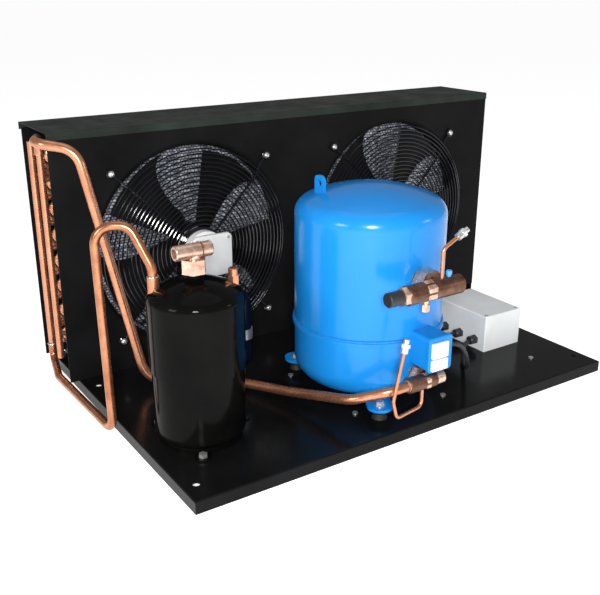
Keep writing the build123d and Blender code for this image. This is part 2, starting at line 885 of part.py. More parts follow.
with BuildPart() as compressor_ports:
    add(stub(suction_plane, suction_spigot, suction_joint, compressor_y - front))
    add(stub(discharge_plane, discharge_spigot, discharge_joint, compressor_y - front))
    add(compressor_upper_shell.part, mode=Mode.SUBTRACT)
    add(compressor_lower_shell.part, mode=Mode.SUBTRACT)

# ================= receiver =================
receiver_axis = Axis((receiver_x, receiver_y, 0), (0, 0, 1))
receiver_section = Plane(origin=(receiver_x, receiver_y, 0), x_dir=(1, 0, 0), z_dir=(0, -1, 0))
receiver_drop = math.sqrt(
    (receiver_crown - receiver_knuckle) ** 2 - (receiver_radius - receiver_knuckle) ** 2
)
receiver_shoulder = receiver_top + receiver_drop - receiver_crown
receiver_angle = math.degrees(math.atan2(receiver_drop, receiver_radius - receiver_knuckle))
receiver_low = deck + receiver_lift
receiver_lower_radius = receiver_radius - receiver_step

with BuildPart() as receiver_upper_shell:
    with BuildSketch(receiver_section):
        with BuildLine():
            wall = Line((receiver_radius, receiver_seam), (receiver_radius, receiver_shoulder))
            CenterArc(
                (receiver_radius - receiver_knuckle, receiver_shoulder), receiver_knuckle, 0, receiver_angle
            )
            crown = CenterArc(
                (0, receiver_top - receiver_crown), receiver_crown, receiver_angle, 90 - receiver_angle
            )
            Polyline(crown @ 1, (0, receiver_seam), wall @ 0)
        make_face()
    revolve(axis=receiver_axis)
    add(stub(receiver_plane, receiver_spigot, receiver_joint, receiver_valve_height - receiver_shoulder))

with BuildPart() as receiver_lower_shell:
    with BuildSketch(receiver_section):
        with BuildLine():
            Line((0, receiver_low), (receiver_lower_radius - receiver_corner, receiver_low))
            CenterArc(
                (receiver_lower_radius - receiver_corner, receiver_low + receiver_corner),
                receiver_corner,
                -90,
                90,
            )
            Polyline(
                (receiver_lower_radius, receiver_low + receiver_corner),
                (receiver_lower_radius, receiver_seam),
                (0, receiver_seam),
                (0, receiver_low),
            )
        make_face()
    revolve(axis=receiver_axis)

skirt_sheet = 3.0
tab_width = 26.0
with BuildPart() as receiver_foot:
    with BuildSketch(Plane.XY.offset(deck)):
        with Locations((receiver_x, receiver_y)):
            Circle(receiver_skirt + skirt_sheet)
            with PolarLocations(receiver_lug_circle / 2, 3, start_angle=receiver_lug_angle):
                Rectangle(receiver_lug_circle, tab_width)
        with Locations(*lug_places):
            Circle(tab_width / 2)
        with Locations((receiver_x, receiver_y)):
            Circle(receiver_skirt - skirt_sheet, mode=Mode.SUBTRACT)
        with Locations(*lug_places):
            Circle(foot_bolt + touch, mode=Mode.SUBTRACT)
    extrude(amount=skirt_sheet)
    with BuildSketch(Plane.XY.offset(deck)):
        with Locations((receiver_x, receiver_y)):
            Circle(receiver_skirt)
            Circle(receiver_skirt - skirt_sheet, mode=Mode.SUBTRACT)
    extrude(amount=receiver_corner)
    add(receiver_lower_shell.part, mode=Mode.SUBTRACT)

with BuildPart() as receiver_bolts:
    with BuildSketch(Plane.XY.offset(deck + skirt_sheet)):
        with Locations(*lug_places):
            RegularPolygon(foot_bolt * 1.85, 6)
    extrude(amount=bolt_head)
    with BuildSketch(Plane.XY.offset(deck + skirt_sheet)):
        with Locations(*lug_places):
            Circle(foot_bolt)
    extrude(amount=-(skirt_sheet + base_sheet))

with BuildPart() as receiver_valve_body:
    add(
        valve_body(
            receiver_plane,
            receiver_valve_radius,
            receiver_back,
            receiver_neck,
            receiver_out,
            outlet_bore,
            outlet_bore_depth,
            receiver_spigot,
            receiver_joint,
        )
    )
with BuildPart() as receiver_valve_nut:
    add(
        valve_nut(
            receiver_plane,
            receiver_spigot,
            receiver_valve_radius,
            receiver_joint + nut_reach,
            receiver_flats,
        )
    )
with BuildPart() as receiver_valve_stem:
    add(valve_stem(receiver_plane, receiver_valve_radius, receiver_back, receiver_neck))
with BuildPart() as receiver_valve_cap:
    add(valve_cap(receiver_plane, receiver_neck, receiver_cap))

inlet_place = around(receiver_x, receiver_y, inlet_circle, inlet_angle)
with BuildPart() as receiver_inlet:
    with BuildSketch(Plane.XY.offset(receiver_shoulder)):
        with Locations(inlet_place):
            Circle(inlet_radius)
    extrude(amount=inlet_height - receiver_shoulder)
    with BuildSketch(Plane.XY.offset(inlet_height)):
        with Locations(inlet_place):
            Circle(liquid_pipe + braze_gap)
    extrude(amount=-braze_depth, mode=Mode.SUBTRACT)
    add(receiver_upper_shell.part, mode=Mode.SUBTRACT)

relief_place = around(receiver_x, receiver_y, relief_circle, relief_angle)
relief_cap = 8.0
relief_top = receiver_top + 8.0
with BuildPart() as relief_plug:
    with BuildSketch(Plane.XY.offset(receiver_shoulder)):
        with Locations(relief_place):
            RegularPolygon(relief_cap + 2.0, 6)
    extrude(amount=receiver_top - 4.0 - receiver_shoulder)
    with BuildSketch(Plane.XY.offset(receiver_top - 4.0)):
        with Locations(relief_place):
            Circle(relief_cap)
    extrude(amount=relief_top - receiver_top + 4.0)
    chamfer(relief_plug.edges().group_by(Axis.Z)[-1], length=1.5)
    add(receiver_upper_shell.part, mode=Mode.SUBTRACT)

# ================= filter drier =================
drier_neck = 5.0
drier_cone = 12.0
with BuildPart() as filter_drier:
    with BuildSketch(Plane(origin=(drier_x, drier_y, drier_bottom), x_dir=(1, 0, 0), z_dir=(0, -1, 0))):
        with BuildLine():
            Polyline(
                (0, 0),
                (drier_neck, 0),
                (drier_neck, drier_cone * 0.5),
                (drier_radius, drier_cone * 1.5),
                (drier_radius, drier_length - drier_cone * 1.5),
                (drier_neck, drier_length - drier_cone * 0.5),
                (drier_neck, drier_length),
                (0, drier_length),
                close=True,
            )
        make_face()
    revolve(axis=Axis((drier_x, drier_y, 0), (0, 0, 1)))

clip_sheet = 2.0
clip_height = 20.0
clip_middle = drier_bottom + drier_length * 0.45
with BuildPart() as drier_clip:
    with BuildSketch(Plane.XY.offset(clip_middle - clip_height / 2)):
        with Locations((drier_x, drier_y)):
            Circle(drier_radius + clip_sheet + 0.1)
            Circle(drier_radius + 0.1, mode=Mode.SUBTRACT)
    extrude(amount=clip_height)
    with BuildSketch(Plane.XY.offset(deck)):
        with Locations((drier_x, drier_y + drier_radius + 0.1)):
            Rectangle(clip_height, clip_sheet, align=(Align.CENTER, Align.MIN))
    extrude(amount=clip_middle + clip_height / 2 - deck)
    with BuildSketch(Plane.XY.offset(deck)):
        with Locations((drier_x, drier_y + drier_radius + 0.1)):
            Rectangle(clip_height, clip_height * 1.2, align=(Align.CENTER, Align.MIN))
    extrude(amount=clip_sheet)

# ================= pipes =================


def pipe(points, radii, radius):
    """A tube along straight runs joined by tangent arcs."""
    with BuildPart() as tube:
        with BuildLine() as route:
            FilletPolyline(*points, radius=radii)
        with BuildSketch(Plane(origin=route.line @ 0, z_dir=route.line % 0)):
            Circle(radius)
        sweep(path=route.line)
    return tube.part


def soft_radii(points):
    """The widest tangent arcs that a lead's runs leave room for."""
    radii = []
    for before, at, after in zip(points, points[1:], points[2:]):
        run_in = Vector(*at) - Vector(*before)
        run_out = Vector(*after) - Vector(*at)
        turn = math.radians(run_in.get_angle(run_out))
        radii.append(0.45 * min(run_in.length, run_out.length) / math.tan(turn / 2))
    return radii


def by_panel(out, before, z):
    """A place left of the housing's end and in front of the fan panel."""
    return (housing_left + out, panel_y - before, z)


def by_compressor(x, y, z):
    """A place given from the compressor's axis and the pan's front edge."""
    return (compressor_x + x, front + y, z)


def by_receiver(x, y, z):
    """A place given from the receiver's axis."""
    return (receiver_x + x, receiver_y + y, z)


discharge_end = compressor_x - discharge_out
gas_low = deck + 12.0
gas_points = [
    (header_x, gas_header_y, gas_header_top),
    (header_x, gas_header_y, gas_header_top + 30.0),
    by_panel(-22, 2, housing_top - 14.0),
    by_panel(39, 40, housing_top - 27.0),
    by_panel(116, 97, gas_low),
    by_compressor(-221, 312, gas_low - 3.0),
    by_compressor(-171, 195, gas_low + 9.0),
    by_compressor(-131, 60, discharge_height - 22.0),
    (discharge_end - 34.0, front + discharge_stand, discharge_height),
    (discharge_end + braze_depth - 0.5, front + discharge_stand, discharge_height),
]
with BuildPart() as hot_gas_line:
    add(pipe(gas_points, [20, 26, 40, 50, 80, 120, 60, 34], gas_pipe))

liquid_low = deck + 6.0
arch_height = receiver_top + 87.0
liquid_points = [
    (header_x, liquid_header_y, liquid_header_low),
    (header_x, liquid_header_y, deck + 8.0),
    (left - 31.0, panel_y + 29.0, liquid_low),
    by_receiver(-127, 76, liquid_low),
    by_receiver(-132, 78, arch_height),
    by_receiver(-83, 52, arch_height),
    (inlet_place[0], inlet_place[1], inlet_height + 14.0),
    (inlet_place[0], inlet_place[1], inlet_height - braze_depth + 0.5),
]
with BuildPart() as liquid_line:
    add(pipe(liquid_points, [20, 60, 30, 32, 26, 32], liquid_pipe))

tap_points = [
    by_compressor(5, 0, suction_height + suction_valve_radius - 4.0),
    by_compressor(5, 0, suction_height + 67.0),
    by_compressor(35, 0, suction_height + 82.0),
]
with BuildPart() as pressure_tap_line:
    add(pipe(tap_points, [14], small_pipe))
    add(suction_valve_body.part, mode=Mode.SUBTRACT)


def flare_fitting(path_end, before):
    """A collar, a hexagon and a threaded nose in line with a small pipe's end."""
    seat = Plane(origin=path_end, z_dir=Vector(*path_end) - Vector(*before))
    with BuildPart() as fitting:
        with BuildSketch(seat):
            Circle(small_pipe * 2.0)
        extrude(amount=10.0)
        with BuildSketch(seat.offset(10.0)):
            RegularPolygon(small_pipe * 2.6, 6)
        extrude(amount=6.0)
        with BuildSketch(seat.offset(16.0)):
            Circle(small_pipe * 1.5)
        extrude(amount=8.0)
    return fitting.part


with BuildPart() as pressure_tap_fitting:
    add(flare_fitting(tap_points[-1], tap_points[-2]))

with BuildPart() as suction_service_port:
    with BuildSketch(Plane.XY.offset(suction_height - suction_valve_radius + 4.0)):
        with Locations((compressor_x - 27.0, front)):
            Circle(small_pipe * 1.4)
    extrude(amount=-10.0)
    with BuildSketch(Plane.XY.offset(suction_height - suction_valve_radius - 6.0)):
        with Locations((compressor_x - 27.0, front)):
            RegularPolygon(small_pipe * 2.2, 6)
    extrude(amount=-12.0)
    add(suction_valve_body.part, mode=Mode.SUBTRACT)

service_points = [
    by_compressor(-12, discharge_stand, discharge_height - discharge_valve_radius + 4.0),
    by_compressor(-12, discharge_stand, discharge_height - 47.0),
    by_compressor(-80, -1, discharge_height - 45.0),
    by_compressor(-89, -1, discharge_height - 12.0),
    by_compressor(-70, -1, discharge_height + 74.0),
]
with BuildPart() as service_line:
    add(pipe(service_points, [12, 12, 20], small_pipe))
    add(discharge_valve_body.part, mode=Mode.SUBTRACT)
with BuildPart() as service_fitting:
    add(flare_fitting(service_points[-1], service_points[-2]))

# ================= electrics =================
box_base = box_height - box_lid
with BuildPart() as junction_box:
    with BuildSketch(Plane.XY.offset(deck)):
        with Locations((box_x, box_y)):
            Rectangle(box_width, box_length, align=(Align.MIN, Align.MIN))
    extrude(amount=box_base)
    fillet(junction_box.edges().filter_by(Axis.Z), radius=box_wall)
    with BuildSketch(Plane.XY.offset(deck + box_wall)):
        with Locations((box_x + box_wall, box_y + box_wall)):
            Rectangle(box_width - 2 * box_wall, box_length - 2 * box_wall, align=(Align.MIN, Align.MIN))
    extrude(amount=box_base - box_wall, mode=Mode.SUBTRACT)
    with BuildSketch(Plane(origin=(box_x, box_y, gland_height), x_dir=(0, 1, 0), z_dir=(1, 0, 0))):
        with Locations(*[(place, 0) for place in gland_places]):
            Circle(gland_thread)
    extrude(amount=box_wall, mode=Mode.SUBTRACT)
with BuildPart() as junction_box_lid:
    with BuildSketch(Plane.XY.offset(deck + box_base)):
        with Locations((box_x, box_y)):
            Rectangle(box_width, box_length, align=(Align.MIN, Align.MIN))
    extrude(amount=box_lid)
    fillet(junction_box_lid.edges().filter_by(Axis.Z), radius=box_wall)
    chamfer(junction_box_lid.edges().group_by(Axis.Z)[-1], length=2.0)
    with BuildSketch(Plane.XY.offset(deck + box_base)):
        with Locations((box_x + box_wall, box_y + box_wall)):
            Rectangle(box_width - 2 * box_wall, box_length - 2 * box_wall, align=(Align.MIN, Align.MIN))
    extrude(amount=box_lid - 2 * box_wall, mode=Mode.SUBTRACT)


def gland(plane, wall):
    """A screwed gland: its thread through the wall and its dome outside."""
    with BuildPart() as body:
        with BuildSketch(plane):
            RegularPolygon(gland_radius + 1.5, 6)
        extrude(amount=gland_length * 0.4)
        with BuildSketch(plane.offset(gland_length * 0.4)):
            Circle(gland_radius)
        extrude(amount=gland_length * 0.6)
        tip = plane.origin + plane.z_dir * gland_length
        chamfer(body.faces().sort_by_distance(tip)[0].edges(), length=2.0)
        with BuildSketch(plane):
            Circle(gland_thread - 0.1)
        extrude(amount=-wall)
        with BuildSketch(plane.offset(gland_length)):
            Circle(cable_radius + 0.1)
        extrude(amount=-(gland_length + wall), mode=Mode.SUBTRACT)
    return body.part


panel_exit = Plane(origin=(panel_middle, panel_y, panel_exit_height), z_dir=(0, -1, 0))
with BuildPart() as spare_gland:
    add(gland(Plane(origin=(box_x, box_y + gland_places[2], gland_height), z_dir=(-1, 0, 0)), box_wall))
with BuildPart() as cable_glands:
    for place in gland_places[:2]:
        add(gland(Plane(origin=(box_x, box_y + place, gland_height), z_dir=(-1, 0, 0)), box_wall))
    add(gland(terminal_exit, terminal_wall))
    add(gland(panel_exit, housing_sheet))

lead_run = 34.0
compressor_lead = [
    (terminal_exit.origin.X + 2.0, terminal_exit.origin.Y, terminal_exit.origin.Z),
    (terminal_exit.origin.X + 42.0, terminal_exit.origin.Y, terminal_exit.origin.Z),
    (box_x - 166.0, box_y - 120.0, deck + 72.0),
    (box_x - 130.0, box_y - 82.0, deck + 26.0),
    (box_x - 86.0, box_y - 30.0, deck + 10.0),
    (box_x - lead_run, box_y + gland_places[0], gland_height),
    (box_x - 2.0, box_y + gland_places[0], gland_height),
]
fan_lead = [
    (panel_exit.origin.X, panel_y - 2.0, panel_exit.origin.Z),
    (panel_exit.origin.X, panel_y - 42.0, panel_exit.origin.Z),
    (panel_middle + 27.0, panel_y - 91.0, deck + 16.0),
    (box_x - 154.0, box_y + 176.0, deck + 10.0),
    (box_x - 90.0, box_y + 112.0, deck + 12.0),
    (box_x - lead_run, box_y + gland_places[1], gland_height),
    (box_x - 2.0, box_y + gland_places[1], gland_height),
]
with BuildPart() as power_cables:
    add(pipe(compressor_lead, soft_radii(compressor_lead), cable_radius))
    add(pipe(fan_lead, soft_radii(fan_lead), cable_radius))

# ================= the pieces by name =================
pieces = {
    "base_pan": base_pan,
    "base_stiffeners": base_stiffeners,
    "deck_screws": deck_screws,
    "fan_panel": fan_panel,
    "top_cover": top_cover,
    "right_end_panel": right_end_panel,
    "coil_channel": coil_channel,
    "coil_fins": coil_fins,
    "tube_sheets": tube_sheets,
    "return_bends": return_bends,
    "gas_header": gas_header,
    "liquid_header": liquid_header,
    "guard_screws": guard_screws,
    "compressor_upper_shell": compressor_upper_shell,
    "compressor_lower_shell": compressor_lower_shell,
    "compressor_feet": compressor_feet,
    "foot_grommets": foot_grommets,
    "foot_bolts": foot_bolts,
    "lifting_lug": lifting_lug,
    "compressor_terminal_box": compressor_terminal_box,
    "compressor_terminal_cover": compressor_terminal_cover,
    "compressor_ports": compressor_ports,
    "suction_valve_body": suction_valve_body,
    "suction_valve_nut": suction_valve_nut,
    "suction_valve_stem": suction_valve_stem,
    "suction_valve_cap": suction_valve_cap,
    "suction_service_port": suction_service_port,
    "discharge_valve_body": discharge_valve_body,
    "discharge_valve_nut": discharge_valve_nut,
    "discharge_valve_stem": discharge_valve_stem,
    "discharge_valve_cap": discharge_valve_cap,
    "pressure_tap_line": pressure_tap_line,
    "pressure_tap_fitting": pressure_tap_fitting,
    "service_line": service_line,
    "service_fitting": service_fitting,
    "receiver_upper_shell": receiver_upper_shell,
    "receiver_lower_shell": receiver_lower_shell,
    "receiver_foot": receiver_foot,
    "receiver_bolts": receiver_bolts,
    "receiver_valve_body": receiver_valve_body,
    "receiver_valve_nut": receiver_valve_nut,
    "receiver_valve_stem": receiver_valve_stem,
    "receiver_valve_cap": receiver_valve_cap,
    "receiver_inlet": receiver_inlet,
    "relief_plug": relief_plug,
    "filter_drier": filter_drier,
    "drier_clip": drier_clip,
    "hot_gas_line": hot_gas_line,
    "liquid_line": liquid_line,
    "junction_box": junction_box,
    "junction_box_lid": junction_box_lid,
    "cable_glands": cable_glands,
    "spare_gland": spare_gland,
    "power_cables": power_cables,
}
for name, piece in pieces.items():
    piece.part.label = name
    export_step(piece.part, f"parts/{name}.step")

for side, rotor, motor, guard in zip(["left", "right"], fan_rotors, fan_motors, fan_guards):
    rotor.label = f"fan_rotor_{side}"
    export_step(rotor, f"parts/fan_rotor_{side}.step")
    motor.label = f"fan_motor_{side}"
    export_step(motor, f"parts/fan_motor_{side}.step")
    guard.label = f"fan_guard_{side}"
    export_step(guard, f"parts/fan_guard_{side}.step")
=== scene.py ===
import json
import math
import bpy
import bmesh
from mathutils import Matrix, Vector


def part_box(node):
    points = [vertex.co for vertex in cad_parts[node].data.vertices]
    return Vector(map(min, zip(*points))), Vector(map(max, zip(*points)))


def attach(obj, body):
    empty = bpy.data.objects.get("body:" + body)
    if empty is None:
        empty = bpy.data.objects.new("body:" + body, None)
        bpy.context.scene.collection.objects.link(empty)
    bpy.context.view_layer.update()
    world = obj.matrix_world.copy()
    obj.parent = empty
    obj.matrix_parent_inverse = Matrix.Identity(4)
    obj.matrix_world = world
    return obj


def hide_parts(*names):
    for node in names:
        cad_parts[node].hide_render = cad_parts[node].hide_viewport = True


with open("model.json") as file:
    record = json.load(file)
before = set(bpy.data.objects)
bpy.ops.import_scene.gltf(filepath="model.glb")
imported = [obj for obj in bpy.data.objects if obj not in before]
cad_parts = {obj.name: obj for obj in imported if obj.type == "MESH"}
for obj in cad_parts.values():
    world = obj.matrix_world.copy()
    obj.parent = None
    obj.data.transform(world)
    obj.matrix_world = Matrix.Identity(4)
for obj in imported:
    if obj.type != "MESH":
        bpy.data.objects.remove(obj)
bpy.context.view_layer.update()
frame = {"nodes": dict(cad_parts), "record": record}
nodes = frame["nodes"]

# the view, the floor and the lights

studio = {
    "lens": 51.0,
    "sensor": 36.0,
    "cameraPlace": (-0.9178, -1.3063, 0.7433),
    "cameraTurn": (69.66, 0.0, -33.37),
    "floorSize": 130.0,
    "floorShade": 0.90,
    "floorGlow": 0.70,
    "worldShade": 1.0,
    "worldStrength": 0.30,
    "softboxes": [
        {"name": "keyBox", "at": (-1.15, -1.75, 0.95), "aim": (0.0, 0.0, 0.2), "size": 0.30, "watts": 44.0},
        {"name": "rightBox", "at": (2.3, -1.9, 1.0), "aim": (0.1, 0.0, 0.25), "size": 0.5, "watts": 6.5},
        {"name": "leftBox", "at": (-2.4, -0.5, 1.0), "aim": (-0.4, 0.1, 0.25), "size": 0.6, "watts": 14.0},
        {"name": "topBox", "at": (0.2, 0.2, 3.0), "aim": (0.0, 0.0, 0.3), "size": 2.2, "watts": 9.0},
    ],
}


def aimAt(place, target):
    return (Vector(target) - Vector(place)).to_track_quat("-Z", "Y").to_euler()


def buildStudio():
    cameraData = bpy.data.cameras.new("photoCamera")
    cameraData.lens = studio["lens"]
    cameraData.sensor_width = studio["sensor"]
    cameraData.clip_end = 200.0
    camera = bpy.data.objects.new("photoCamera", cameraData)
    camera.location = studio["cameraPlace"]
    camera.rotation_euler = [math.radians(a) for a in studio["cameraTurn"]]
    bpy.context.scene.collection.objects.link(camera)
    bpy.context.scene.camera = camera

    bm = bmesh.new()
    bmesh.ops.create_grid(bm, x_segments=1, y_segments=1, size=studio["floorSize"] / 2)
    mesh = bpy.data.meshes.new("studioFloor")
    bm.to_mesh(mesh)
    bm.free()
    floor = bpy.data.objects.new("studioFloor", mesh)
    bpy.context.scene.collection.objects.link(floor)
    floorPaint = bpy.data.materials.new("studioFloor")
    floorPaint.use_nodes = True
    shader = floorPaint.node_tree.nodes["Principled BSDF"]
    shade = studio["floorShade"]
    shader.inputs["Base Color"].default_value = (shade, shade, shade, 1.0)
    shader.inputs["Roughness"].default_value = 0.8
    shader.inputs["Emission Color"].default_value = (1.0, 1.0, 1.0, 1.0)
    shader.inputs["Emission Strength"].default_value = studio["floorGlow"]
    mesh.materials.append(floorPaint)

    world = bpy.data.worlds.new("studioAir")
    world.use_nodes = True
    sky = world.node_tree.nodes["Background"]
    shade = studio["worldShade"]
    sky.inputs["Color"].default_value = (shade, shade, shade, 1.0)
    sky.inputs["Strength"].default_value = studio["worldStrength"]
    bpy.context.scene.world = world

    for softbox in studio["softboxes"]:
        lamp = bpy.data.lights.new(softbox["name"], "AREA")
        lamp.shape = "SQUARE"
        lamp.size = softbox["size"]
        lamp.energy = softbox["watts"]
        lampObject = bpy.data.objects.new(softbox["name"], lamp)
        lampObject.location = softbox["at"]
        lampObject.rotation_euler = aimAt(softbox["at"], softbox["aim"])
        bpy.context.scene.collection.objects.link(lampObject)


buildStudio()
bpy.context.scene.view_settings.view_transform = "Standard"
print("studio: camera,", len(studio["softboxes"]), "softboxes")

# finishes


class Finish:
    # one node material: a shader with patterns on object coordinates
    def __init__(self, name):
        self.material = bpy.data.materials.new(name)
        self.material.use_nodes = True
        self.tree = self.material.node_tree
        self.shader = self.tree.nodes["Principled BSDF"]
        self.place = self.node("ShaderNodeTexCoord")

    def node(self, kind, **settings):
        made = self.tree.nodes.new(kind)
        for key, value in settings.items():
            setattr(made, key, value)
        return made

    def link(self, source, target):
        self.tree.links.new(source, target)

    def set(self, **values):
        for key, value in values.items():
            self.shader.inputs[key.replace("_", " ")].default_value = value

    def noise(self, scale, detail=3.0, roughness=0.5):
        made = self.node("ShaderNodeTexNoise")
        made.inputs["Scale"].default_value = scale
        made.inputs["Detail"].default_value = detail
        made.inputs["Roughness"].default_value = roughness
        self.link(self.place.outputs["Object"], made.inputs["Vector"])
        return made.outputs["Fac"]

    def ramp(self, source, stops):
        made = self.node("ShaderNodeValToRGB")
        elements = made.color_ramp.elements
        while len(elements) < len(stops):
            elements.new(0.5)
        for element, (spot, colour) in zip(elements, stops):
            element.position = spot
            element.color = (*colour, 1.0)
        self.link(source, made.inputs["Fac"])
        return made.outputs["Color"]

    def span(self, source, low, high, fromLow=0.3, fromHigh=0.7):
        made = self.node("ShaderNodeMapRange")
        made.inputs["From Min"].default_value = fromLow
        made.inputs["From Max"].default_value = fromHigh
        made.inputs["To Min"].default_value = low
        made.inputs["To Max"].default_value = high
        self.link(source, made.inputs["Value"])
        return made.outputs["Result"]

    def colour(self, source):
        self.link(source, self.shader.inputs["Base Color"])

    def roughness(self, source):
        self.link(source, self.shader.inputs["Roughness"])

    def bump(self, source, height, strength=1.0):
        made = self.node("ShaderNodeBump")
        made.inputs["Strength"].default_value = strength
        made.inputs["Distance"].default_value = height
        self.link(source, made.inputs["Height"])
        self.link(made.outputs["Normal"], self.shader.inputs["Normal"])


def paint(name, dark, light, gloss, matt, peel=0.00012, coat=0.0, patch=9.0, shine=0.5):
    # sprayed paint: cloudy shade, uneven gloss, orange peel
    finish = Finish(name)
    finish.set(Specular_IOR_Level=shine)
    clouds = finish.noise(patch, 4.0, 0.6)
    finish.colour(finish.ramp(clouds, [(0.3, dark), (0.7, light)]))
    finish.roughness(finish.span(finish.noise(patch * 2.3, 5.0, 0.6), gloss, matt))
    finish.set(Coat_Weight=coat, Coat_Roughness=0.08)
    finish.bump(finish.noise(420.0, 2.0), peel, 0.5)
    return finish.material


def metal(name, dark, light, gloss, matt, patch=30.0, grain=600.0, depth=0.00002):
    # bare metal: tarnish in patches, fine grain
    finish = Finish(name)
    finish.set(Metallic=0.86)
    finish.colour(finish.ramp(finish.noise(patch, 5.0, 0.65), [(0.32, dark), (0.68, light)]))
    finish.roughness(finish.span(finish.noise(patch * 3.0, 4.0), gloss, matt))
    finish.bump(finish.noise(grain, 2.0), depth, 0.6)
    return finish.material


def plastic(name, dark, light, gloss, matt, grain=900.0, depth=0.00004):
    finish = Finish(name)
    finish.colour(finish.ramp(finish.noise(14.0, 3.0), [(0.3, dark), (0.7, light)]))
    finish.roughness(finish.span(finish.noise(40.0, 3.0), gloss, matt))
    finish.bump(finish.noise(grain, 2.0), depth, 0.7)
    return finish.material


def finPackPaintedLight(name):
    # thin fins with louvres: staggered rows of bright and dull lips over dark gaps. The colours are painted
    # light: a painted highlight on the bright lips and painted shade on the dull lips and in the gaps
    # between the fins. The same brick pattern also gives the louvres' bump.
    finish = Finish(name)
    finish.set(Metallic=0.3)
    split = finish.node("ShaderNodeSeparateXYZ")
    finish.link(finish.place.outputs["Object"], split.inputs["Vector"])
    flat = finish.node("ShaderNodeCombineXYZ")
    finish.link(split.outputs["X"], flat.inputs["X"])
    finish.link(split.outputs["Z"], flat.inputs["Y"])
    louvreBumpAndPaintedLight = finish.node("ShaderNodeTexBrick", offset=0.5)
    # painted light: Color1 is the painted highlight on lit lips, Color2 painted shade on dull lips, Mortar
    # painted shade between the fins
    louvreBumpAndPaintedLight.inputs["Color1"].default_value = (0.72, 0.76, 0.84, 1.0)
    louvreBumpAndPaintedLight.inputs["Color2"].default_value = (0.16, 0.17, 0.20, 1.0)
    louvreBumpAndPaintedLight.inputs["Mortar"].default_value = (0.03, 0.03, 0.036, 1.0)
    louvreBumpAndPaintedLight.inputs["Scale"].default_value = 1.0
    louvreBumpAndPaintedLight.inputs["Mortar Size"].default_value = 0.0011
    louvreBumpAndPaintedLight.inputs["Mortar Smooth"].default_value = 0.4
    louvreBumpAndPaintedLight.inputs["Brick Width"].default_value = 0.0075
    louvreBumpAndPaintedLight.inputs["Row Height"].default_value = 0.0056
    finish.link(flat.outputs["Vector"], louvreBumpAndPaintedLight.inputs["Vector"])
    finish.colour(louvreBumpAndPaintedLight.outputs["Color"])
    finish.roughness(finish.span(finish.noise(60.0, 3.0), 0.22, 0.40))
    finish.bump(louvreBumpAndPaintedLight.outputs["Fac"], 0.0008, 0.8)
    return finish.material


def spangle(name):
    # zinc coat with its crystal patches
    finish = Finish(name)
    finish.set(Metallic=0.86)
    cells = finish.node("ShaderNodeTexVoronoi")
    cells.inputs["Scale"].default_value = 70.0
    finish.link(finish.place.outputs["Object"], cells.inputs["Vector"])
    shades = [(0.2, (0.46, 0.47, 0.49)), (0.8, (0.66, 0.67, 0.69))]
    finish.colour(finish.ramp(cells.outputs["Color"], shades))
    finish.roughness(finish.span(cells.outputs["Distance"], 0.28, 0.48, 0.0, 0.8))
    finish.bump(finish.noise(300.0, 2.0), 0.00005, 0.5)
    return finish.material


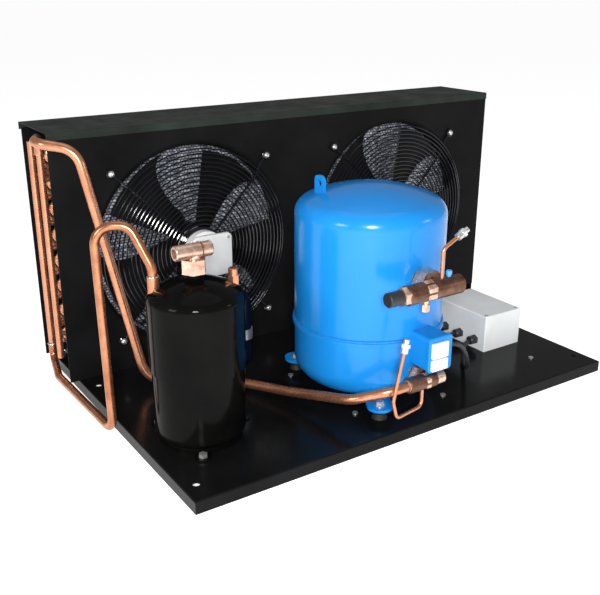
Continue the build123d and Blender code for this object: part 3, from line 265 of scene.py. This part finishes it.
finishes = {
    "baseBlack": paint("baseBlack", (0.004, 0.004, 0.004), (0.008, 0.008, 0.008), 0.12, 0.24, shine=0.07),
    "housingBlack": paint(
        "housingBlack", (0.004, 0.004, 0.004), (0.008, 0.008, 0.008), 0.34, 0.50, shine=0.05
    ),
    # the cover's black paint lifted to a greenish grey: painted reflection of the ceiling on the top
    "coverBlackPaintedReflection": paint(
        "coverBlackPaintedReflection", (0.011, 0.016, 0.0125), (0.024, 0.032, 0.026), 0.42, 0.62, shine=0.10
    ),
    "compressorBlue": paint(
        "compressorBlue", (0.007, 0.205, 0.58), (0.011, 0.24, 0.68), 0.14, 0.24, patch=6.0, shine=0.32
    ),
    "weldBlue": paint(
        "weldBlue",
        (0.008, 0.17, 0.50),
        (0.014, 0.24, 0.66),
        0.22,
        0.36,
        peel=0.0009,
        patch=120.0,
        shine=0.34,
    ),
    "receiverBlack": paint(
        "receiverBlack", (0.002, 0.002, 0.002), (0.005, 0.005, 0.0045), 0.07, 0.14, shine=0.05
    ),
    "motorWhite": paint("motorWhite", (0.62, 0.62, 0.61), (0.80, 0.80, 0.79), 0.28, 0.44),
    "fanBlack": paint("fanBlack", (0.004, 0.004, 0.004), (0.008, 0.008, 0.008), 0.3, 0.46, shine=0.06),
    "wireBlack": paint("wireBlack", (0.003, 0.003, 0.005), (0.007, 0.007, 0.011), 0.05, 0.10, shine=0.42),
    "drierBlue": paint("drierBlue", (0.002, 0.004, 0.012), (0.003, 0.007, 0.020), 0.06, 0.12, shine=0.12),
    "copper": metal("copper", (0.54, 0.225, 0.12), (0.68, 0.32, 0.19), 0.22, 0.32),
    # a darker copy of the pipe copper for the liquid line: painted shade
    "shadedLiquidCopper": metal("shadedLiquidCopper", (0.36, 0.13, 0.06), (0.54, 0.24, 0.13), 0.20, 0.32),
    "darkCopper": metal("darkCopper", (0.10, 0.05, 0.032), (0.26, 0.13, 0.085), 0.26, 0.44, patch=50.0),
    "brass": metal("brass", (0.52, 0.30, 0.21), (0.86, 0.62, 0.50), 0.20, 0.36, patch=60.0),
    "zinc": metal("zinc", (0.50, 0.50, 0.49), (0.82, 0.82, 0.80), 0.22, 0.40),
    "galvanised": spangle("galvanised"),
    "fins": finPackPaintedLight("fins"),
    "rubber": plastic("rubber", (0.008, 0.008, 0.008), (0.018, 0.018, 0.018), 0.55, 0.75, 260.0, 0.0001),
    "capBlack": plastic("capBlack", (0.010, 0.010, 0.011), (0.022, 0.022, 0.024), 0.34, 0.5),
    "glandBlack": plastic("glandBlack", (0.014, 0.014, 0.015), (0.03, 0.03, 0.032), 0.36, 0.52),
    "cableBlack": plastic("cableBlack", (0.010, 0.010, 0.010), (0.020, 0.020, 0.020), 0.42, 0.58),
    "boxGrey": plastic("boxGrey", (0.80, 0.82, 0.82), (0.90, 0.92, 0.92), 0.34, 0.46),
    "terminalWhite": plastic("terminalWhite", (0.74, 0.76, 0.77), (0.88, 0.89, 0.90), 0.26, 0.40),
    "capBlue": plastic("capBlue", (0.06, 0.28, 0.62), (0.10, 0.38, 0.76), 0.30, 0.42),
}

slotFinish = {
    "base_black": "baseBlack",
    "housing_black": "housingBlack",
    "cover_grey": "coverBlackPaintedReflection",
    "blue_paint": "compressorBlue",
    "receiver_black": "receiverBlack",
    "motor_white": "motorWhite",
    "fan_black": "fanBlack",
    "guard_wire": "wireBlack",
    "fins": "fins",
    "galvanised": "galvanised",
    "zinc": "zinc",
    "copper": "copper",
    "brass": "brass",
    "black_cap": "capBlack",
    "rubber": "rubber",
    "drier_blue": "drierBlue",
    "box_grey": "boxGrey",
    "gland_black": "glandBlack",
    "cable_black": "cableBlack",
}

# nodes whose surface differs from the rest of their slot
nodeFinish = {
    "suction_valve_body": "darkCopper",
    "discharge_valve_body": "darkCopper",
    # the liquid line gets the darker copy of the copper: painted shade
    "liquid_line": "shadedLiquidCopper",
}

for part in frame["record"]["subparts"]:
    cadNode = nodes[part["node"]]
    cadNode.data.materials.clear()
    finishName = nodeFinish.get(part["node"], slotFinish[part["material_slot"]])
    cadNode.data.materials.append(finishes[finishName])
print("finishes:", len(finishes), "on the CAD nodes")

# shared mesh steps


def meshPiece(name, bm, finish, body="unit", sharp=35.0):
    bmesh.ops.remove_doubles(bm, verts=bm.verts, dist=0.000005)
    bmesh.ops.recalc_face_normals(bm, faces=bm.faces)
    mesh = bpy.data.meshes.new(name)
    bm.to_mesh(mesh)
    bm.free()
    mesh.polygons.foreach_set("use_smooth", [True] * len(mesh.polygons))
    mesh.set_sharp_from_angle(angle=math.radians(sharp))
    mesh.materials.append(finishes[finish])
    piece = bpy.data.objects.new(name, mesh)
    bpy.context.scene.collection.objects.link(piece)
    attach(piece, body)
    return piece


def addRing(bm, centre, axis, radial, ringRadius, wireRadius, steps=72, sides=6, angle=2 * math.pi):
    # a wire's section beside the axis, spun round it
    turn = Matrix((radial, axis, radial.cross(axis))).transposed().to_4x4()
    place = Matrix.Translation(centre + radial * ringRadius) @ turn
    section = bmesh.ops.create_circle(bm, segments=sides, radius=wireRadius, matrix=place)["verts"]
    rim = list({edge for vert in section for edge in vert.link_edges})
    full = abs(angle - 2 * math.pi) < 0.001
    bmesh.ops.spin(
        bm, geom=section + rim, cent=centre, axis=axis, angle=angle, steps=steps, use_merge=full
    )


def addTurned(bm, centre, axis, radial, profile, steps=32):
    # a solid of revolution: its outline as (radius, height) pairs from the axis
    verts = [bm.verts.new(centre + radial * r + axis * h) for r, h in profile]
    edges = [bm.edges.new(pair) for pair in zip(verts, verts[1:])]
    bmesh.ops.spin(
        bm, geom=verts + edges, cent=centre, axis=axis, angle=2 * math.pi, steps=steps, use_merge=True
    )


def addWire(bm, route, radius, bend=6):
    # a bent round wire along a smooth line
    curve = bpy.data.curves.new("wireRoute", "CURVE")
    curve.dimensions = "3D"
    curve.bevel_depth = radius
    curve.bevel_resolution = 1
    curve.resolution_u = bend
    curve.use_fill_caps = True
    spline = curve.splines.new("NURBS")
    spline.points.add(len(route) - 1)
    for point, place in zip(spline.points, route):
        point.co = (*place, 1.0)
    spline.order_u = 3
    spline.use_endpoint_u = True
    holder = bpy.data.objects.new("wireRoute", curve)
    tube = bpy.data.meshes.new_from_object(holder)
    bm.from_mesh(tube)
    bpy.data.objects.remove(holder)
    bpy.data.curves.remove(curve)
    bpy.data.meshes.remove(tube)


def addBlock(bm, low, high, bevelWidth, segments=3):
    # a block with softened edges
    size = [b - a for a, b in zip(low, high)]
    middle = [(a + b) / 2 for a, b in zip(low, high)]
    block = Matrix.Translation(middle) @ Matrix.Diagonal((*size, 1.0))
    verts = bmesh.ops.create_cube(bm, size=1.0, matrix=block)["verts"]
    edges = list({edge for vert in verts for edge in vert.link_edges})
    bmesh.ops.bevel(
        bm,
        geom=verts + edges,
        offset=bevelWidth,
        segments=segments,
        profile=0.5,
        affect="EDGES",
        material=-1,
    )


across, inwards, upwards = Vector((1, 0, 0)), Vector((0, 1, 0)), Vector((0, 0, 1))
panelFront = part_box("fan_panel")[0].y


def fanMiddle(side):
    # where the fan's axis meets the panel's front
    low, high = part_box("fan_motor_" + side)
    return Vector(((low.x + high.x) / 2, panelFront, (low.z + high.z) / 2))


# fan guards: fine wire rings on four bent arms

guard = {
    "ringPitch": 0.0085,
    "ringWire": 0.0014,
    "armWire": 0.0024,
    "innerRing": 0.052,
    "outerRing": 0.203,
    "clampReach": 0.0445,
    "clampRise": 0.027,
    "browReach": 0.1866,
    "browRise": 0.0177,
    "rimReach": 0.212,
    "footReach": 0.2340,
    "footRise": 0.0029,
    "eyeRadius": 0.0072,
}


def guardRise(reach):
    # how far the basket stands off the panel at a distance from its middle
    if reach < guard["browReach"]:
        along = (reach - guard["clampReach"]) / (guard["browReach"] - guard["clampReach"])
        return guard["clampRise"] + (guard["browRise"] - guard["clampRise"]) * along
    along = (reach - guard["browReach"]) / (guard["rimReach"] - guard["browReach"])
    return guard["browRise"] + (guard["footRise"] - guard["browRise"]) * along


def buildGuard(side):
    middle = fanMiddle(side)
    bm = bmesh.new()
    count = int((guard["outerRing"] - guard["innerRing"]) / guard["ringPitch"]) + 1
    for n in range(count):
        reach = guard["innerRing"] + n * guard["ringPitch"]
        rise = guardRise(reach) + guard["armWire"] + guard["ringWire"]
        addRing(bm, middle - inwards * rise, inwards, across, reach, guard["ringWire"], steps=80)
    for shift in (-0.004, 0.004):
        band = middle - inwards * (guard["clampRise"] + shift)
        addRing(bm, band, inwards, across, guard["clampReach"] - 0.001, guard["armWire"], steps=48)
    for n in range(4):
        spoke = across.copy()
        spoke.rotate(Matrix.Rotation(math.radians(45 + 90 * n), 3, inwards))
        route = [
            middle + spoke * reach - inwards * rise
            for reach, rise in (
                (guard["clampReach"], guard["clampRise"]),
                (guard["browReach"] - 0.012, guardRise(guard["browReach"] - 0.012)),
                (guard["browReach"], guard["browRise"]),
                (guard["rimReach"] - 0.006, guard["footRise"] + 0.003),
                (guard["rimReach"], guard["footRise"]),
                (guard["footReach"] - guard["eyeRadius"], guard["footRise"]),
            )
        ]
        addWire(bm, route, guard["armWire"], bend=5)
        eye = middle + spoke * guard["footReach"] - inwards * guard["footRise"]
        addRing(bm, eye, inwards, across, guard["eyeRadius"], guard["armWire"], steps=24)
    piece = meshPiece("guardWires." + side, bm, "wireBlack")
    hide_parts("fan_guard_" + side)


for fanSide in ("left", "right"):
    buildGuard(fanSide)
print("fan guards: fine rings on bent arms")

# fan rotors: five swept blades on a round hub

rotor = {
    "blades": 5,
    "edgeAngle": 81.0,
    "depth": 0.024,
    "front": 0.0045,
    "camber": 0.006,
    "sheet": 0.0018,
    "hub": 0.0425,
    "stations": [
        (0.040, 62.0),
        (0.060, 55.0),
        (0.080, 46.0),
        (0.100, 42.0),
        (0.122, 40.0),
        (0.146, 40.0),
        (0.168, 42.0),
        (0.182, 45.0),
        (0.190, 49.0),
    ],
    "strips": 10,
}


def addBlade(bm, middle, turn):
    rows = []
    for reach, span in rotor["stations"]:
        row = []
        for n in range(rotor["strips"] + 1):
            part = n / rotor["strips"]
            angle = math.radians(rotor["edgeAngle"] + turn - span * part)
            behind = rotor["front"] + rotor["depth"] * part - rotor["camber"] * math.sin(math.pi * part)
            behind += rotor["camber"]
            spoke = across * math.cos(angle) + upwards * math.sin(angle)
            row.append(bm.verts.new(middle + spoke * reach + inwards * behind))
        rows.append(row)
    faces = []
    for inner, outer in zip(rows, rows[1:]):
        for n in range(rotor["strips"]):
            faces.append(bm.faces.new((inner[n], inner[n + 1], outer[n + 1], outer[n])))
    bmesh.ops.solidify(bm, geom=faces, thickness=rotor["sheet"])


def buildRotor(side):
    middle = fanMiddle(side)
    bm = bmesh.new()
    for n in range(rotor["blades"]):
        addBlade(bm, middle, n * 360.0 / rotor["blades"])
    front, back, r = 0.0035, 0.0360, rotor["hub"]
    outline = [(0.0, front), (r - 0.005, front), (r - 0.0015, front + 0.0015), (r, front + 0.005)]
    outline += [(r, back - 0.003), (r - 0.003, back), (0.0, back)]
    addTurned(bm, middle, inwards, across, outline, steps=48)
    piece = meshPiece("rotorBlades." + side, bm, "fanBlack", body="fan_" + side)
    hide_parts("fan_rotor_" + side)


for fanSide in ("left", "right"):
    buildRotor(fanSide)
print("rotors:", rotor["blades"], "blades each")

# screws that hold the guards

guardScrew = {"radius": 0.0062, "height": 0.0042, "rise": 0.0052}


def buildGuardScrews():
    bm = bmesh.new()
    for side in ("left", "right"):
        middle = fanMiddle(side)
        for n in range(4):
            spoke = across.copy()
            spoke.rotate(Matrix.Rotation(math.radians(45 + 90 * n), 3, inwards))
            seat = middle + spoke * guard["footReach"] - inwards * guardScrew["rise"]
            r, h = guardScrew["radius"], guardScrew["height"]
            outline = [
                (0.0, -h * 0.62),
                (r * 0.30, -h * 0.62),
                (r * 0.34, -h),
                (r * 0.62, -h * 0.9),
                (r * 0.9, -h * 0.5),
                (r, 0.0),
                (r * 0.4, 0.0),
                (r * 0.4, guardScrew["rise"]),
                (0.0, guardScrew["rise"]),
            ]
            addTurned(bm, seat, inwards, across, outline, steps=20)
    piece = meshPiece("guardScrewHeads", bm, "zinc")
    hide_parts("guard_screws")


buildGuardScrews()
print("guard screws: 8")

# left fan motor: square front cover with rounded corners and four screws

motorCover = {
    "half": 0.0415,
    "depth": 0.0085,
    "corner": 0.010,
    "edge": 0.0022,
    "overlap": 0.001,
    "screw": 0.0032,
    "screwHeight": 0.0014,
    "screwInset": 0.0085,
}


def addPlate(bm, middle, half, corner, front, back, edge):
    # a square plate in the XZ plane, its corners rounded and its rims softened
    place = Matrix.Translation((middle.x, (front + back) / 2, middle.z))
    size = Matrix.Diagonal((2 * half, abs(back - front), 2 * half, 1.0))
    verts = bmesh.ops.create_cube(bm, size=1.0, matrix=place @ size)["verts"]
    edges = {edge for vert in verts for edge in vert.link_edges}
    upright = [e for e in edges if abs((e.verts[0].co - e.verts[1].co).normalized().y) > 0.9]
    made = bmesh.ops.bevel(
        bm, geom=upright, offset=corner, segments=6, profile=0.5, affect="EDGES", material=-1
    )
    faces = {f for vert in made["verts"] for f in vert.link_faces if abs(f.normal.y) > 0.9}
    rim = {e for f in faces for e in f.edges}
    bmesh.ops.bevel(
        bm, geom=list(rim), offset=edge, segments=3, profile=0.5, affect="EDGES", material=-1
    )


def buildMotorCover():
    low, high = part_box("fan_motor_left")
    middle = Vector(((low.x + high.x) / 2, 0.0, (low.z + high.z) / 2))
    bm = bmesh.new()
    front = low.y - motorCover["depth"]
    back = low.y + motorCover["overlap"]
    addPlate(bm, middle, motorCover["half"], motorCover["corner"], front, back, motorCover["edge"])
    meshPiece("motorCover", bm, "motorWhite")
    bm = bmesh.new()
    reach = motorCover["half"] - motorCover["screwInset"]
    for sideX in (-1, 1):
        for sideZ in (-1, 1):
            seat = Vector((middle.x + sideX * reach, front, middle.z + sideZ * reach))
            r, h = motorCover["screw"], motorCover["screwHeight"]
            head = [
                (0.0, -h * 0.3),
                (r * 0.4, -h * 0.3),
                (r * 0.45, -h),
                (r * 0.8, -h * 0.9),
                (r, 0.0),
                (r, 0.0006),
                (0.0, 0.0006),
            ]
            addTurned(bm, seat, inwards, across, head, steps=16)
    meshPiece("motorCoverScrews", bm, "zinc")


buildMotorCover()
print("motor cover: left fan")

# return bends: round hairpins outside the coil's left end plate

returnBend = {
    "rows": 4,
    "pairs": 8,
    "tubePitch": 0.0254,
    "rowPitch": 0.022,
    "tube": 0.0048,
    "socket": 0.0056,
    "socketWire": 0.0009,
    "socketSetback": 0.002,
}


def buildReturnBends():
    low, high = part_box("return_bends")
    bm = bmesh.new()
    half = returnBend["tubePitch"] / 2
    for row in range(returnBend["rows"]):
        shift = (row % 2) * half
        for pair in range(returnBend["pairs"]):
            z = low.z + half + returnBend["tube"] + 2 * pair * returnBend["tubePitch"] + shift
            y = low.y + returnBend["tube"] * 0.8 + row * returnBend["rowPitch"]
            middle = Vector((high.x, y, z))
            tube, socket = returnBend["tube"], returnBend["socket"]
            addRing(bm, middle, inwards, -upwards, half, tube, steps=12, sides=10, angle=math.pi)
            for end in (-half, half):
                seat = middle + upwards * end - across * returnBend["socketSetback"]
                addRing(bm, seat, across, upwards, socket, returnBend["socketWire"], steps=14)
    piece = meshPiece("returnBendTubes", bm, "copper")
    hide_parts("return_bends")


buildReturnBends()
print("return bends:", returnBend["rows"] * returnBend["pairs"])

# weld bead round the compressor's belly

seam = {"radius": 0.1378, "bead": 0.0021, "rise": 0.001}


def buildWeld():
    low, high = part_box("compressor_upper_shell")
    middle = Vector(((low.x + high.x) / 2, (low.y + high.y) / 2, low.z + seam["rise"]))
    bm = bmesh.new()
    addRing(bm, middle, upwards, across, seam["radius"], seam["bead"], steps=128)
    meshPiece("compressorWeld", bm, "weldBlue")


buildWeld()
print("compressor: weld bead")

# white terminal block on the compressor's cover

terminal = {
    "left": -0.004,
    "right": 0.031,
    "ribs": 5,
    "proud": 0.0055,
    "ribProud": 0.0067,
    "ribHalf": 0.0012,
    "gap": 0.0015,
    "topMargin": 0.009,
    "lowMargin": 0.005,
    "splitDrop": 0.006,
    "sunk": 0.001,
    "edge": 0.0012,
}


def buildTerminal():
    low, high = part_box("compressor_terminal_cover")
    bm = bmesh.new()
    face = low.y
    split = (low.z + high.z) / 2 - terminal["splitDrop"]
    left, right, gap = terminal["left"], terminal["right"], terminal["gap"]
    front, back = face - terminal["proud"], face + terminal["sunk"]
    spans = [(split + gap, high.z - terminal["topMargin"]), (low.z + terminal["lowMargin"], split - gap)]
    for bottom, top in spans:
        addBlock(bm, (left, front, bottom), (right, back, top), terminal["edge"])
    step = (right - left) / (terminal["ribs"] + 1)
    for n in range(terminal["ribs"]):
        x = left + step * (n + 1)
        ribLow = (x - terminal["ribHalf"], face - terminal["ribProud"], low.z + 0.008)
        addBlock(bm, ribLow, (x + terminal["ribHalf"], front + 0.001, split - 0.005), 0.0004, 2)
    meshPiece("terminalBlock", bm, "terminalWhite")


buildTerminal()
print("terminal blocks: 2")

# access port with a blue cap on the suction valve

port = {"x": 0.0248, "setback": 0.017, "sunk": 0.0008, "neck": 0.0036, "cap": 0.0052, "height": 0.0115}


def buildAccessCap():
    low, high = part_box("suction_valve_body")
    seat = Vector((port["x"], low.y + port["setback"], high.z - port["sunk"]))
    neck, cap, height = port["neck"], port["cap"], port["height"]
    outline = [
        (0.0, height),
        (cap * 0.8, height),
        (cap, height * 0.88),
        (cap, height * 0.34),
        (neck, height * 0.34),
        (neck, 0.0),
        (0.0, 0.0),
    ]
    bm = bmesh.new()
    addTurned(bm, seat, upwards, across, outline, steps=18)
    meshPiece("accessCap", bm, "capBlue")


buildAccessCap()
print("access cap: suction valve")

# two hexagons on each valve's bar: one at its end, a wider one nearer its middle

valveHex = {
    "suction": {"end": -0.0765, "length": 0.019, "radius": 0.0168, "middle": -0.0310, "wide": 0.0195},
    "discharge": {"end": -0.0330, "length": 0.010, "radius": 0.0138, "middle": -0.0080, "wide": 0.0160},
    "corner": 0.0010,
}


def addHex(bm, centre, axis, radial, radius, length):
    turn = Matrix((radial, axis.cross(radial), axis)).transposed().to_4x4()
    place = Matrix.Translation(centre + axis * length / 2) @ turn
    made = bmesh.ops.create_cone(
        bm, cap_ends=True, segments=6, radius1=radius, radius2=radius, depth=length, matrix=place
    )
    edges = list({edge for vert in made["verts"] for edge in vert.link_edges})
    bmesh.ops.bevel(
        bm, geom=edges, offset=valveHex["corner"], segments=2, profile=0.5, affect="EDGES", material=-1
    )


def buildValveHexes():
    bm = bmesh.new()
    for side in ("suction", "discharge"):
        hexes = valveHex[side]
        low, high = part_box(side + "_valve_cap")
        y, z = (low.y + high.y) / 2, (low.z + high.z) / 2
        addHex(bm, Vector((hexes["end"], y, z)), across, inwards, hexes["radius"], hexes["length"])
        addHex(bm, Vector((hexes["middle"], y, z)), across, inwards, hexes["wide"], hexes["length"])
    meshPiece("valveHexes", bm, "brass")


buildValveHexes()
print("valve hexagons: 4")

# brazed joints where pipes meet sockets

braze = {"bead": 0.0016, "inlet": 0.0083, "discharge": 0.0098, "header": 0.0076, "headerTube": 0.0065}


def buildBrazing():
    bm = bmesh.new()
    inletLow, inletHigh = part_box("receiver_inlet")
    inletTop = Vector(((inletLow.x + inletHigh.x) / 2, (inletLow.y + inletHigh.y) / 2, inletHigh.z))
    addRing(bm, inletTop, upwards, across, braze["inlet"], braze["bead"], steps=28, sides=8)
    outLow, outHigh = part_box("discharge_valve_body")
    outEnd = Vector((outLow.x, outLow.y + 0.014, (outLow.z + outHigh.z) / 2))
    addRing(bm, outEnd, across, upwards, braze["discharge"], braze["bead"], steps=28, sides=8)
    for name, atTop in (("gas_header", True), ("liquid_header", False)):
        headLow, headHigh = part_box(name)
        z = headHigh.z if atTop else headLow.z
        end = Vector((headLow.x + braze["headerTube"], (headLow.y + headHigh.y) / 2, z))
        addRing(bm, end, upwards, across, braze["header"], braze["bead"], steps=24, sides=8)
    meshPiece("brazing", bm, "brass")


buildBrazing()
print("brazed joints: 4")

# junction box: lid screws

boxScrew = {"inset": 0.0085, "radius": 0.0036, "rise": 0.0012, "sunk": 0.0002}


def buildLidScrews():
    low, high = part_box("junction_box_lid")
    r, h, sunk = boxScrew["radius"], boxScrew["rise"], boxScrew["sunk"]
    head = [
        (0.0, h * 0.2),
        (r * 0.35, h * 0.2),
        (r * 0.4, h),
        (r * 0.8, h),
        (r, h * 0.4),
        (r, -sunk),
        (0.0, -sunk),
    ]
    bm = bmesh.new()
    for x in (low.x + boxScrew["inset"], high.x - boxScrew["inset"]):
        for y in (low.y + boxScrew["inset"], high.y - boxScrew["inset"]):
            addTurned(bm, Vector((x, y, high.z)), upwards, across, head, steps=18)
    meshPiece("lidScrews", bm, "zinc")


buildLidScrews()
print("lid screws: 4")

# power leads: from the compressor and the fans into the junction box

leads = [
    {
        "name": "compressorLead",
        "length": 0.344,
        "route": [
            (0.045, -0.299, 0.145),
            (0.085, -0.299, 0.145),
            (0.125, -0.285, 0.094),
            (0.161, -0.247, 0.048),
            (0.205, -0.195, 0.032),
            (0.257, -0.137, 0.042),
            (0.289, -0.137, 0.042),
        ],
    },
    {
        "name": "fanLead",
        "length": 0.373,
        "route": [
            (0.052, 0.164, 0.060),
            (0.052, 0.124, 0.060),
            (0.079, 0.075, 0.038),
            (0.137, 0.011, 0.032),
            (0.201, -0.053, 0.034),
            (0.257, -0.093, 0.042),
            (0.289, -0.093, 0.042),
        ],
    },
]
leadRadius = 0.0042


def buildLead(lead):
    line = bpy.data.curves.new(lead["name"], "CURVE")
    line.dimensions = "3D"
    line.bevel_depth = leadRadius
    line.bevel_resolution = 4
    line.resolution_u = 12
    line.use_fill_caps = True
    spline = line.splines.new("NURBS")
    spline.points.add(len(lead["route"]) - 1)
    for point, place in zip(spline.points, lead["route"]):
        point.co = (*place, 1.0)
    spline.order_u = 3
    spline.use_endpoint_u = True
    line.materials.append(finishes["cableBlack"])
    cable = bpy.data.objects.new(lead["name"], line)
    bpy.context.scene.collection.objects.link(cable)
    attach(cable, "unit")
    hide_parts("power_cables")


for powerLead in leads:
    buildLead(powerLead)
print("leads:", len(leads))
